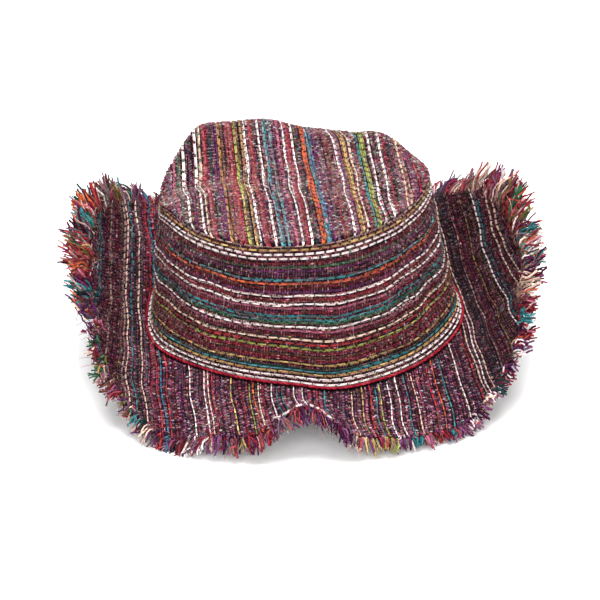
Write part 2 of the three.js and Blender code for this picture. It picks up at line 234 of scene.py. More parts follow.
def round_hat(table, column):
    """A smooth closed curve through one column of a table, read by bearing in degrees."""
    at = np.array(table["bearing"], float)
    value = np.array(table[column], float)
    at = np.concatenate([at[-2:] - 360, at, at[:3] + 360])
    value = np.concatenate([value[-2:], value, value[:3]])
    slope = (value[2:] - value[:-2]) / (at[2:] - at[:-2])

    def read(bearing):
        turned = (np.asarray(bearing, float) - at[2]) % 360 + at[2]
        i = np.searchsorted(at, turned, side="right") - 1
        span = at[i + 1] - at[i]
        t = (turned - at[i]) / span
        return ((2 * t**3 - 3 * t**2 + 1) * value[i] + (t**3 - 2 * t**2 + t) * slope[i - 1] * span
                + (3 * t**2 - 2 * t**3) * value[i + 1] + (t**3 - t**2) * slope[i] * span)

    return read


base_radius, base_height, top_radius, top_height = (
    round_hat(CROWN, column) for column in ("base_radius", "base_height", "top_radius", "top_height"))


def standing(bearing, radius, height):
    """Points at a radius and a height on each bearing, as the tables count them."""
    turn = np.radians(bearing)
    return np.stack(np.broadcast_arrays(radius * np.sin(turn), -radius * np.cos(turn), height), -1)


def side_drawn(bearing, share):
    """The side's outer face at a share of its height, as the tables count it."""
    waist = base_radius(bearing) - HEM_FLARE
    radius = waist + (top_radius(bearing) - waist) * share
    radius = radius + HEM_FLARE * np.clip(1 - share / HEM_SHARE, 0, None) ** 2
    for i, middle in enumerate(DENTS["bearing"]):
        across = ((bearing - middle + 180) % 360 - 180) / DENTS["spread"][i]
        up = (share - DENTS["height"][i]) / DENTS["reach"][i]
        radius = radius - (DENTS["depth"][i] * np.sin(math.pi * np.clip(share, 0, 1))
                           * np.exp(-across**2 - up**2))
    height = base_height(bearing) + (top_height(bearing) - base_height(bearing)) * share
    points = standing(bearing, radius, height)
    points[..., 0] += CROWN_LEAN * share
    return points


# The tables count from the crown's middle, and the part from the middle of the whole hat
every_bearing, every_share = np.meshgrid(np.arange(-180, 180, 0.5), np.linspace(0, 1, 7))
drawn = side_drawn(every_bearing, every_share).reshape(-1, 3)
low, high = (np.array(corner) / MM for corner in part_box("crown_side"))
TO_PART = (low + high) / 2 - (drawn.min(0) + drawn.max(0)) / 2


def side_cloth(across, along):
    """The side's outer face, with its ripples, at mm below the top seam and mm round the strip."""
    bearing, share = along / SIDE_LENGTH * 360, 1 - across / SIDE_WIDTH
    ripple = (np.sin(np.radians(bearing * 9) + share * 5)
              + 0.7 * np.sin(np.radians(bearing * 17 + 50) - share * 8))
    ripple = ripple * RIPPLE_DEPTH * np.sin(math.pi * np.clip(share, 0, 1))
    return side_drawn(bearing, share) + standing(bearing, ripple, 0.0) + TO_PART


def side_sway(across, along):
    """How far the rows of the side wander from straight, none at its two seams."""
    turn = along / SIDE_LENGTH * 2 * math.pi
    wander = 0.9 * np.sin(3 * turn + across / 25) + 0.6 * np.sin(8 * turn + across / 18 + 2)
    wander = wander + 0.3 * np.sin(19 * turn - across / 12)
    return wander * np.sin(math.pi * np.clip(across / SIDE_WIDTH, 0, 1))


def normals_of(cloth, across, along):
    """The direction that the face of a cloth looks in, and the way its warp runs."""
    step = 0.8  # mm to either side
    over = cloth(across + step, along) - cloth(across - step, along)
    warp = cloth(across, along + step) - cloth(across, along - step)
    out = np.cross(over, warp)
    warp /= np.linalg.norm(warp, axis=-1, keepdims=True)
    return out / np.linalg.norm(out, axis=-1, keepdims=True), warp


def finish_mesh(piece, node=None):
    """Smooths a piece, hangs it on the root body and hides the solid that it stands for, if any."""
    piece.data.shade_smooth()
    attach(piece, "root")
    if node:
        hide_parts(node)


def cloth_sheet(name, squares, spot, flat, outward, material):
    """Two layers of cloth shaped from a flat grid: spot gives the place of each corner from its
    two shares, flat where it lies on the cut cloth in mm, and outward where its face looks."""
    bpy.ops.object.select_all(action="DESELECT")
    bpy.ops.mesh.primitive_grid_add(x_subdivisions=squares[0], y_subdivisions=squares[1], size=1)
    sheet = bpy.context.object
    sheet.name = sheet.data.name = name
    mesh = sheet.data
    shares = np.empty(len(mesh.vertices) * 3)
    mesh.vertices.foreach_get("co", shares)
    first, second = (shares.reshape(-1, 3)[:, :2] + 0.5).T
    corner = np.empty(len(mesh.loops), int)
    mesh.loops.foreach_get("vertex_index", corner)
    cut = np.stack(flat(first, second), -1) * MM
    mesh.uv_layers.active.name = "cut"
    mesh.uv_layers.active.data.foreach_set("uv", cut[corner].ravel())
    points = spot(first, second)
    mesh.vertices.foreach_set("co", (points * MM).ravel())
    mesh.update()
    bpy.ops.object.mode_set(mode="EDIT")
    bpy.ops.mesh.select_all(action="SELECT")
    bpy.ops.mesh.remove_doubles(threshold=0.00001)
    bpy.ops.object.mode_set(mode="OBJECT")
    looks = sum(np.dot(face.normal, outward(np.array(face.center))) for face in mesh.polygons)
    if looks < 0:
        mesh.flip_normals()
    mesh.materials.append(material)
    thick = sheet.modifiers.new("two_layers", "SOLIDIFY")
    thick.thickness = CLOTH_CORE * MM
    thick.offset = -1
    thick.use_even_offset = False
    bpy.ops.object.modifier_apply(modifier=thick.name)
    return sheet


def warp_places(start, end, stripes):
    """Where the warp yarns lie across a cloth: one on each stripe and dull ones evenly between."""
    bright = [(at, dye) for at, dye in stripes if start <= at <= end]
    edges = [start - PITCH] + [at for at, _ in bright] + [end + PITCH]
    dull = []
    for left, right in zip(edges, edges[1:]):
        count = round((right - left) / PITCH)
        dull += [(left + (right - left) * i / count, None) for i in range(1, count)]
    return sorted(bright + dull, key=lambda place: place[0])


def yarn_material():
    """Soft cotton yarn: the colour of each ring, its dye with the painted shade that weave gives it, darker
    and lighter where fibres gather, and rough.
    """
    material, shader, nodes = new_material("dyed_cotton", 0.9, sheen=0.01)
    dye = nodes.node("ShaderNodeAttribute", {"attribute_name": "dye"})
    place = nodes.node("ShaderNodeTexCoord", out=3)
    fibre = nodes.node("ShaderNodeTexNoise", sockets={"Vector": place, "Scale": 900.0, "Detail": 3.0})
    depth = nodes.node("ShaderNodeValToRGB",
                       {"stops": [(0.3, (0.45, 0.45, 0.45)), (0.7, (1.2, 1.2, 1.2))]}, {"Fac": fibre})
    mixed = nodes.node("ShaderNodeMix", {"data_type": "RGBA", "blend_type": "MULTIPLY"},
                       {0: 1.0, 6: dye, 7: depth}, out=2)
    rough = nodes.node("ShaderNodeBump", sockets={"Strength": 0.35, "Distance": 0.0004, "Height": fibre})
    material.node_tree.links.new(mixed.socket, shader.inputs["Base Color"])
    material.node_tree.links.new(rough.socket, shader.inputs["Normal"])
    return material


dyed_cotton = yarn_material()


def yarn_mesh(name, rings, starts, colours, node=None):
    """One mesh of many yarns, closed at both ends, from rings of corners, the first ring of each
    yarn, and a colour for each ring. node is as finish_mesh takes it."""
    count, sides = rings.shape[:2]
    index = np.arange(count * sides).reshape(count, sides)
    last = np.zeros(count, bool)
    last[np.append(starts[1:], count) - 1] = True
    here = index[~last]
    there = here + sides
    after = np.roll(np.arange(sides), -1)
    walls = np.stack([here, here[:, after], there[:, after], there], -1).reshape(-1, 4)
    heads = index[starts][:, ::-1]
    tails = index[last]
    loops = np.concatenate([walls.ravel(), heads.ravel(), tails.ravel()])
    sizes = np.concatenate([np.full(len(walls), 4), np.full(len(heads) + len(tails), sides)])
    mesh = bpy.data.meshes.new(name)
    mesh.vertices.add(count * sides)
    mesh.vertices.foreach_set("co", (rings * MM).ravel())
    mesh.loops.add(len(loops))
    mesh.loops.foreach_set("vertex_index", loops)
    mesh.polygons.add(len(sizes))
    mesh.polygons.foreach_set("loop_start", np.concatenate([[0], np.cumsum(sizes)[:-1]]))
    mesh.update(calc_edges=True)
    tint = mesh.color_attributes.new("dye", "FLOAT_COLOR", "POINT")
    shown = np.ones((count, sides, 4))
    shown[..., :3] = colours[:, None, :]
    tint.data.foreach_set("color", shown.ravel())
    mesh.validate()
    mesh.materials.append(dyed_cotton)
    piece = bpy.data.objects.new(name, mesh)
    bpy.context.scene.collection.objects.link(piece)
    finish_mesh(piece, node)
    return piece


def drawn_dyes(chance, dyes, count):
    """The dye of each of a number of lengths of yarn, drawn by chance."""
    return np.array([DYES[dye] for dye in dyes])[chance.integers(len(dyes), size=count)]


def weave(name, cloth, places, picks, inside, seed, pale, sway, lift=0.0, flip=1, painted_shade=None,
          slubs=(), muted=0.0, bold=1.0):
    """The yarns on a cloth's face: bright warp yarns in floats, dull ones that dip under every
    second weft yarn, and the short lengths of weft that cross over the dips. Returns its meshes.

    cloth gives a point from mm across and along, and inside says which points show. pale tints
    the dull yarns and faded darkens all yarns with painted shade, sway is how far they wander,
    and slubs are thick places. Stripes that aren't white take muted of the dull yarns' colour and
    are bold times as wide. flip is -1 for a cloth's under face, lift mm away, which has no weft."""
    chance = np.random.default_rng(seed)
    rings, starts, tints, total = [], [], [], 0
    crossings, crossing_tints = [], []
    for k, (place_across, dye) in enumerate(places):
        phase = (picks + k) % FLOAT_PICKS
        dash = (picks + k) // FLOAT_PICKS
        dash = dash - dash.min()
        dashes = dash.max() + 1
        floats = dye in FLOATING
        plain = dye in ("white", "cream")
        along = (picks + (np.choose(phase, FLOAT_SHIFTS) if floats else 0)) * PICK
        sunken = phase < 2 if floats else phase % 2 == 0
        drift = (0.35 * np.sin(along / 23 + chance.uniform(0, 6.3) + place_across / 30)
                 + 0.12 * np.sin(along / 6.1 + chance.uniform(0, 6.3)))
        here = place_across + drift + sway(place_across, along)
        shown = inside(here, along)
        swell = np.ones(len(picks))
        for middle in chance.uniform(along[0], along[-1], 1 + len(picks) // 90):
            swell += chance.uniform(0.1, 0.6) * np.exp(-((along - middle) / chance.uniform(3, 9)) ** 2)
        for slub_across, slub_along, thicker in slubs:
            if dye and abs(place_across - slub_across) < 1.7:
                swell += thicker * np.exp(-((along - slub_along) / 6) ** 2)

        # each float of a yarn, or each pick of a dull one, is mixed from three colours
        spun = np.array(DYES[FLECKS[chance.integers(len(FLECKS))]]) * chance.uniform(0.2, 0.8)
        part, parts = (dash, dashes) if floats else (np.arange(len(picks)), len(picks))
        dull = drawn_dyes(chance, HEATHER, parts) * chance.lognormal(-0.2, 0.5, (parts, 1))
        fleck = drawn_dyes(chance, FLECKS, parts) * chance.lognormal(-0.1, 0.5, (parts, 1))
        mix = chance.random((parts, 3)) ** (1.2, 1.2, 1.6)
        mixed = dull * mix[:, :1] + spun * mix[:, 1:2] * 1.3 + fleck * mix[:, 2:]
        mixed = mixed / mix.sum(1, keepdims=True) * pale
        if dye:
            own = np.array(DYES[dye]) * chance.lognormal(0, 0.07 if plain else 0.3, (parts, 1))
            own = own if plain else own * (1 - muted) + mixed * muted
            pure = chance.random((parts, 1)) < (0.97 if plain else 0.75)
            mixed = np.where(pure, own, (own + mixed) * 0.45)
        form = YARN_FORMS["plain" if plain else "bright" if floats else "dull"]
        rise = np.where(sunken, form[0], form[1]) * swell
        if floats:
            float_width = form[3] * (min(bold, 1.0) if plain else bold)
            wide = np.where(sunken, form[2], float_width) * swell * chance.uniform(0.88, 1.08)
            shade = chance.uniform(0.85, 1.25, len(picks))
        else:
            wide = np.where(sunken, form[2], form[3]) * swell
            shade = chance.lognormal(-0.12, 0.5, len(picks))
        # At its dips a yarn is darkened to 0.03 of its colour: partly the dark weft that covers it there,
        # partly painted shade in the gap.
        tone = mixed[part] * np.where(sunken, 0.03, shade)[:, None]
        # Painted shade: faded darkens the yarns where they lie in shade on the brim's curled sides.
        if painted_shade:
            tone = tone * painted_shade(here)[:, None] ** (0.6 if plain else 1.0)

        breaks = np.flatnonzero(np.diff(np.concatenate([[False], shown, [False]]).astype(int)))
        for begin, end in breaks.reshape(-1, 2):
            if end - begin < 3:
                continue
            run = slice(begin, end)
            low = np.flatnonzero((phase[run][1:-1] == 0) | (sunken[run][1:-1] & (not floats))) + begin + 1
            out, warp = normals_of(cloth, here[run], along[run])
            out = out * flip
            over = np.cross(warp, out)
            foot = cloth(here[run], along[run]) + out * lift
            half = wide[run, None] / 2
            top = rise[run, None]
            rings.append(np.stack([foot - over * half - out * 0.5, foot + out * top,
                                   foot + over * half - out * 0.5], 1))
            starts.append(total)
            tints.append(np.clip(tone[run], 0.002, 0.95))
            total += end - begin
            if not len(low):
                continue
            middle = picks[low] * PICK
            out, warp = normals_of(cloth, here[low], middle)
            out = out * flip
            over = np.cross(warp, out)
            foot = cloth(here[low], middle) + out * lift
            top = chance.uniform(0.2, 0.5, (len(low), 1))
            ends = [np.stack([foot + over * side - warp * CROSSING_HALF - out * 0.6,
                              foot + over * side + out * top,
                              foot + over * side + warp * CROSSING_HALF - out * 0.6], 1)
                    for side in (-CROSSING_REACH, CROSSING_REACH)]
            crossings.append(np.stack(ends, 1).reshape(-1, 3, 3))
            weft = WEFT[chance.integers(len(WEFT), size=len(low))] * pale
            weft = np.clip(weft * chance.lognormal(-0.35, 0.85, (len(low), 1)), 0, 0.42)
            if dye and not floats:
                weft = weft * 0.5 + mixed[part[low]] * 0.6
            # The weft takes the same painted shade.
            if painted_shade:
                weft = weft * painted_shade(here[low])[:, None]
            crossing_tints.append(np.repeat(weft * (0.5 if floats else 1.0), 2, 0))
    if flip < 0:
        rings = [ring[:, ::-1] for ring in rings]
    made = [yarn_mesh(f"{name}_warp", np.concatenate(rings), np.array(starts),
                      np.concatenate(tints))]
    if flip > 0:
        crossings = np.concatenate(crossings)
        made.append(yarn_mesh(f"{name}_weft", crossings, np.arange(len(crossings) // 2) * 2,
                              np.concatenate(crossing_tints)))
    return made


def tubes(path, way, thick, sides):
    """Rings of corners round rows of points, with the way that each row runs at its points."""
    way = way / np.linalg.norm(way, axis=-1, keepdims=True)
    over = np.cross(way, np.array([0.01, 0.02, 1.0]))
    over /= np.linalg.norm(over, axis=-1, keepdims=True)
    up = np.cross(over, way)
    spin = np.arange(sides) * 2 * math.pi / sides
    ring = [path + (over * math.cos(a) + up * math.sin(a)) * thick for a in spin]
    return np.stack(ring, 2).reshape(-1, sides, 3)


def fuzz(name, slot, cloth, across, along, seed):
    """Single fibres that stand off a cloth's yarns, each three-sided, in a low arc of 2 or 3 mm."""
    chance = np.random.default_rng(seed)
    count = len(across)
    out, warp = normals_of(cloth, across, along)
    turn = chance.uniform(0, 2 * math.pi, (count, 1))
    run = warp * np.cos(turn) + np.cross(warp, out) * np.sin(turn)
    run = run * chance.uniform(0.7, 1.7, (count, 1))
    rise = out * chance.uniform(0.4, 1.3, (count, 1))
    foot = cloth(across, along) + out * 0.3
    tip = foot + run * 2 + rise * chance.uniform(-0.2, 1.3, (count, 1))
    path = np.stack([foot, foot + run + rise, tip], 1)
    way = np.stack([run + rise * 2, run * 2 + rise, tip - foot - run], 1)
    rings = tubes(path, way, chance.uniform(0.05, 0.1, (count, 1, 1)), 3)
    dye = np.clip(drawn_dyes(chance, FLECKS, count) * 1.3 + chance.uniform(0, 0.1, (count, 1)), 0, 0.9)
    return yarn_mesh(name, rings, np.arange(count) * 3, np.repeat(dye, 3, 0))


def ground_material(name, stripes, start, end):
    """The cloth below the warp floats: thin dark mixed yarns, with weft yarns across, and the
    stripes of the warp where nothing lies over it, as inside the crown."""
    material, shader, nodes = new_material(name, 0.95)
    cut = nodes.node("ShaderNodeUVMap", {"uv_map": "cut"})
    across = nodes.node("ShaderNodeSeparateXYZ", sockets={0: cut})
    pick = across.beside(1) * (1000 / PICK)
    weft = (pick * (2 * math.pi)).maths("COSINE") * 0.5 + 0.5
    end_of_warp = across * (1000 / PITCH)
    ridge = (end_of_warp * (2 * math.pi)).maths("COSINE") * 0.5 + 0.5
    passes = (pick + end_of_warp.maths("ROUND")).maths("ROUND") * (1 / FLOAT_PICKS)
    dips = passes.maths("FRACT").maths("LESS_THAN", 0.1)
    place = nodes.node("ShaderNodeTexCoord", out=3)
    fleck = nodes.node("ShaderNodeTexNoise", sockets={"Vector": place, "Scale": 520.0, "Detail": 3.0})
    heather = nodes.node("ShaderNodeValToRGB", {"stops": [
        (0.30, (0.005, 0.002, 0.003)), (0.42, (0.02, 0.003, 0.006)), (0.50, (0.015, 0.004, 0.014)),
        (0.60, (0.03, 0.02, 0.022)), (0.68, (0.09, 0.06, 0.05))]}, {"Fac": fleck})
    shown = nodes.node("ShaderNodeMix", {"data_type": "RGBA"},
                       {0: weft.maths("POWER", 2.0), 6: (*DYES["coal"], 1), 7: heather}, out=2)
    width = (end - start) * MM
    for first in range(0, len(stripes), 10):  # as a colour ramp holds 32 stops at most
        stops, mask = [(0.0, (0, 0, 0))], [(0.0, (0, 0, 0))]
        for at, dye in stripes[first:first + 10]:
            left, right = ((at + move - start) * MM / width for move in (-0.7, 0.7))
            stops += [(max(left, 0), DYES[dye]), (right, (0, 0, 0))]
            mask += [(max(left, 0), (1, 1, 1)), (right, (0, 0, 0))]
        share = across * (1 / width) - start * MM / width
        colour = nodes.node("ShaderNodeValToRGB", {"bands": stops}, {"Fac": share})
        where = nodes.node("ShaderNodeValToRGB", {"bands": mask}, {"Fac": share})
        shown = nodes.node("ShaderNodeMix", {"data_type": "RGBA"},
                           {0: (1 - dips * 0.8) * where, 6: shown, 7: colour}, out=2)
    height = ridge * (1 - dips) * 0.6 + weft * 0.4 + fleck * 0.3
    relief = nodes.node("ShaderNodeBump", sockets={"Strength": 0.8, "Distance": 0.0006, "Height": height})
    material.node_tree.links.new(shown.socket, shader.inputs["Base Color"])
    material.node_tree.links.new(relief.socket, shader.inputs["Normal"])
    return material


def away_from_middle(point):
    """The side that a standing cloth's face looks to."""
    return np.array([point[0] - TO_PART[0] * MM, point[1] - TO_PART[1] * MM, 0.0])


def sunk(cloth, across, along):
    """Points a little below a cloth's face, where its sheet lies under its yarns."""
    out, _ = normals_of(cloth, across, along)
    return cloth(across, along) - out * CLOTH_INSET


side_sheet = cloth_sheet(
    "crown_side_cloth", (180, 24),
    lambda first, second: sunk(side_cloth, second * SIDE_WIDTH, (first - 0.5) * SIDE_LENGTH),
    lambda first, second: (second * SIDE_WIDTH, first * SIDE_LENGTH),
    away_from_middle, ground_material("side_weave", SIDE_STRIPES, 0, SIDE_WIDTH))
finish_mesh(side_sheet, "crown_side")
side_yarns = weave(
    "crown_side", side_cloth, warp_places(0.0, SIDE_WIDTH - 0.5, SIDE_STRIPES),
    np.arange(-176, 176), lambda across, along: np.ones(len(along), bool), seed=11,
    pale=np.array((1.4, 1.25, 1.1)), sway=side_sway, slubs=SIDE_SLUBS, muted=0.25, bold=0.8)
fuzz_chance = np.random.default_rng(16)
side_yarns.append(fuzz("crown_side_fuzz", "side_cloth", side_cloth,
                       fuzz_chance.uniform(1, SIDE_WIDTH - 2, SIDE_FUZZ),
                       fuzz_chance.uniform(-0.5, 0.5, SIDE_FUZZ) * SIDE_LENGTH, seed=17))


# The crown's tip: an oval panel of the same cotton with its stripes running from front to
# back. Its edge is turned down over the top of the side and sewn there, and soft folds puff
# it up towards the back.
TIP_MIDDLE = 114  # height of the middle of the seam, that the cloth domes up from
TIP_DOME = 5
TIP_LIFT = 2.35  # from the seam to the tip's face
TIP_ROLL = 1.5  # radius of the turned edge
TIP_EDGE = 2.6  # how far the cloth goes past the rim, down over the side
TIP_FUZZ = 900
FOLDS = {  # swells and dents of the soft tip: mm from its middle, how wide and how high
    "x": (-54, -12, 60, 12, -50, -67), "y": (47, 62, 42, 22, -25, 38),
    "spread": (28, 28, 27, 24, 26, 16), "rise": (16, 13, 18, -4, 3, 15),
}
STRIPE_TURN = math.radians(5)
TIP_STRIPES = (  # mm to the right of the tip's middle
    (-84, "crimson"), (-80, "maroon"), (-77, "grey"), (-74, "pink"), (-71.6, "green"), (-67.7, "white"),
    (-64.4, "purple"), (-60.2, "white"), (-57.3, "cream"), (-54.8, "rose"), (-53.2, "crimson"),
    (-50.6, "bottle"), (-48, "purple"), (-46.4, "purple"), (-44.3, "ochre"), (-42.2, "brown"),
    (-39.4, "rose"), (-37.8, "rose"), (-36.2, "crimson"), (-34, "lime"), (-32.4, "olive"),
    (-30.2, "yellow"), (-27.7, "white"), (-24.6, "rose"), (-23, "crimson"), (-18.6, "white"),
    (-15.4, "aqua"), (-13.8, "teal"), (-11.2, "aqua"), (-8.4, "purple"), (-5.8, "pink"),
    (-2.8, "white"), (-0.4, "rose"), (1.1, "crimson"), (3.1, "white"),
    (6.2, "bottle"), (9.2, "orange"), (10.8, "orange"), (12.9, "aqua"), (14.5, "blue"), (17.4, "purple"),
    (20.2, "grey"), (23.4, "maroon"), (26, "brown"), (29.8, "white"), (32.2, "purple"), (34.2, "ochre"),
    (35.8, "yellow"), (38.4, "cream"), (40.8, "crimson"), (43.3, "teal"), (45.4, "lime"), (47, "lime"),
    (50.4, "white"), (53.6, "plum"), (56.7, "white"), (59.6, "crimson"), (62.4, "bottle"), (65.2, "grey"),
    (67.7, "cream"), (70.1, "beige"), (73, "purple"), (74.6, "purple"), (76.8, "red"), (79.2, "bottle"),
    (82, "crimson"),
)
TIP_SLUBS = ((-33.2, 55, 1.3), (-33.2, -34, 0.7), (46.2, 21, 1.3), (13.7, 49, 1.1), (10, -78, 0.8))


def turned(across, along):
    """The bearing and reach of a place on a cloth whose stripes are turned a little."""
    x = across * math.cos(STRIPE_TURN) - along * math.sin(STRIPE_TURN)
    y = across * math.sin(STRIPE_TURN) + along * math.cos(STRIPE_TURN)
    return np.degrees(np.arctan2(x, -y)), np.hypot(x, y)


def unturned(bearing, reach):
    """Where on the cut cloth a place at a bearing and a reach lies."""
    x, y = reach * np.sin(np.radians(bearing)), -reach * np.cos(np.radians(bearing))
    return (x * math.cos(STRIPE_TURN) + y * math.sin(STRIPE_TURN),
            -x * math.sin(STRIPE_TURN) + y * math.cos(STRIPE_TURN))


def tip_at(bearing, reach):
    """The tip's upper face on a bearing, at a reach from its middle along the cloth."""
    rim = top_radius(bearing)
    share = np.clip(reach / rim, 0, 1)
    flat = standing(bearing, rim * share, 0)
    height = TIP_MIDDLE + (top_height(bearing) - TIP_MIDDLE) * share**2 + TIP_DOME * (1 - share**2)
    for x, y, spread, rise in zip(*FOLDS.values()):
        away = np.hypot(flat[..., 0] - x, flat[..., 1] - y) / spread
        height = height + rise * (1 - share**6) * np.exp(-away**2)
    ripple = (np.sin(flat[..., 1] / 8 + flat[..., 0] / 31)
              + 0.8 * np.sin(flat[..., 1] / 15 - flat[..., 0] / 12))
    height = height + ripple * RIPPLE_DEPTH * (1 - share**4)
    over = np.clip(reach - (rim - 1.0), 0, None)
    bend = np.clip(over / TIP_ROLL, 0, math.pi / 2)
    radius = np.where(over > 0, rim - 1.0 + TIP_ROLL * np.sin(bend), reach)
    drop = TIP_ROLL * (1 - np.cos(bend)) + np.clip(over - TIP_ROLL * math.pi / 2, 0, None)
    points = standing(bearing, radius, height + TIP_LIFT - drop)
    points[..., 0] += CROWN_LEAN
    return points + TO_PART


def tip_cloth(across, along):
    return tip_at(*turned(across, along))


def tip_corners(first, second):
    bearing = (first - 0.5) * 360
    reach = np.maximum(second, 0.0) * (top_radius(bearing) + TIP_EDGE)
    return bearing, reach


def tip_spot(first, second):
    bearing, reach = tip_corners(first, second)
    across, along = unturned(bearing, np.maximum(reach, 0.001))
    points = sunk(tip_cloth, across, along)
    points[second < 0.001] = points[second < 0.001].mean(0)
    return points


def upwards(point):
    """The side that a lying cloth's face looks to."""
    return np.array([0.0, 0.0, 1.0])


tip_sheet = cloth_sheet(
    "crown_tip_cloth", (150, 26), tip_spot, lambda first, second: unturned(*tip_corners(first, second)),
    upwards, ground_material("tip_weave", TIP_STRIPES, -90, 90))
finish_mesh(tip_sheet, "crown_tip")


def tip_sway(across, along):
    """How far the stripes of the tip and of the brim wander from straight."""
    return 0.7 * np.sin(along / 17 + across / 40) + 0.4 * np.sin(along / 8 + across / 22 + 1)


def on_tip(across, along):
    bearing, reach = turned(across, along)
    return reach < top_radius(bearing) + 1.2


tip_yarns = weave("crown_tip", tip_cloth, warp_places(-88.5, 89, TIP_STRIPES),
                  np.arange(-55, 56), on_tip, seed=12, pale=np.array((2.3, 2.6, 2.2)), sway=tip_sway,
                  slubs=TIP_SLUBS, muted=0.34)
bearing = fuzz_chance.uniform(-180, 180, TIP_FUZZ)
reach = (top_radius(bearing) + 1) * np.sqrt(fuzz_chance.random(TIP_FUZZ))
tip_yarns.append(fuzz("crown_tip_fuzz", "tip_cloth", tip_cloth, *unturned(bearing, reach), seed=18))


# The piping: one twisted red cotton cord, thicker than the yarns, in a closed loop. It is sewn
# into the seam where the side meets the brim, and stands out there all the way round.
PIPING_RADIUS = 0.85
PIPING_GAP = 0.4  # from the cord to the faces of the side and the brim
PIPING_SHARE = 0.03  # how far up the side its slope is read
PIPING_TURNS = 180  # turns of the twist along the whole cord
PIPING_PLIES = 2
BRIM_SHAPE = {  # its slope at the crown and at the woven edge, then the loose ends' length and slope
    "bearing": (-152, -136, -122, -108, -92, -75, -58, -42, -28, -16, -7, 2, 11, 22, 35, 50, 65, 80, 100,
                125, 150, 180),
    "at_crown": (2, 18, 30, 34, 35, 25, -1, -22, -16, -11, -6, 2, -5, -12, -15, -15, 3, 24, 35, 27, 4, -17),
    "at_edge": (12, 41, 55, 69, 77, 81, 78, 33, -7, 1, 6, 31, 15, 7, 1, 35, 72, 79, 82, 56, 22, -15),
    "fringe": (14, 18, 20, 20, 20, 20, 19, 13, 15, 16, 20, 22, 16, 10, 9, 11, 18, 20, 21, 20, 14, 14),
    "fringe_slope": (0, 40, 45, 45, 35, 25, 20, -20, -46, -55, -68, -80, -70, -60, -52, 5, 20, 28, 40,
                     45, 0, -50),
}
slope_at_crown, slope_at_edge = (round_hat(BRIM_SHAPE, column) for column in ("at_crown", "at_edge"))
RING_STEPS, ROUND_STEPS = 260, 10
bpy.ops.object.select_all(action="DESELECT")
bpy.ops.mesh.primitive_torus_add(major_segments=RING_STEPS, minor_segments=ROUND_STEPS,
                                 major_radius=0.1, minor_radius=0.01)
piping = bpy.context.object
piping.name = piping.data.name = "base_piping_cord"
where = np.empty(len(piping.data.vertices) * 3)
piping.data.vertices.foreach_get("co", where)
where = where.reshape(-1, 3)
bearing = np.degrees(np.arctan2(where[:, 0], -where[:, 1]))
around = np.arctan2(where[:, 2], np.hypot(where[:, 0], where[:, 1]) - 0.1)
foot = side_drawn(bearing, 0.0 * bearing)
wall = side_drawn(bearing, 0.0 * bearing + PIPING_SHARE) - foot
outward = standing(bearing, 1.0, 0)
steep = np.arctan2(wall[:, 2], (wall * outward).sum(1))
cloth_slope = np.radians(slope_at_crown(bearing))
away = (PIPING_RADIUS + PIPING_GAP) / np.sin((steep - cloth_slope) / 2)
halfway = (steep + cloth_slope) / 2
radius = base_radius(bearing) + away * np.cos(halfway) + PIPING_RADIUS * np.cos(around)
height = base_height(bearing) + away * np.sin(halfway) + PIPING_RADIUS * np.sin(around)
piping.data.vertices.foreach_set("co", ((standing(bearing, radius, height) + TO_PART) * MM).ravel())
piping.data.update()
red_cord, shader, nodes = new_material("twisted_red_cotton", 0.8)
wound = nodes.node("ShaderNodeUVMap", {"uv_map": piping.data.uv_layers.active.name})
along_cord = nodes.node("ShaderNodeSeparateXYZ", sockets={0: wound})
twist = (along_cord * (2 * math.pi * PIPING_TURNS)
         + along_cord.beside(1) * (2 * math.pi * PIPING_PLIES))
ply = twist.maths("SINE") * 0.5 + 0.5
place = nodes.node("ShaderNodeTexCoord", out=3)
blotch = nodes.node("ShaderNodeTexNoise", sockets={"Vector": place, "Scale": 160.0, "Detail": 3.0})
# The reds run from dark red to pale pink: partly pinkish bits of the cord, partly painted highlights.
reds_and_painted_highlights = nodes.node("ShaderNodeValToRGB", {"stops": [
    (0.35, (0.13, 0.005, 0.015)), (0.5, (0.30, 0.012, 0.03)), (0.62, (0.42, 0.03, 0.045)),
    (0.72, (0.5, 0.16, 0.16))]}, {"Fac": blotch})
# Painted shade: the cord's colour is darkened in the grooves between its plies.
shaded = nodes.node("ShaderNodeMix", {"data_type": "RGBA"},
                    {0: (1 - ply) * 0.55, 6: reds_and_painted_highlights, 7: (0.08, 0.004, 0.01, 1)}, out=2)
plies = nodes.node("ShaderNodeBump", sockets={"Strength": 0.9, "Distance": 0.0006, "Height": ply})
red_cord.node_tree.links.new(shaded.socket, shader.inputs["Base Color"])
red_cord.node_tree.links.new(plies.socket, shader.inputs["Normal"])
piping.data.materials.append(red_cord)
finish_mesh(piping, "base_piping")


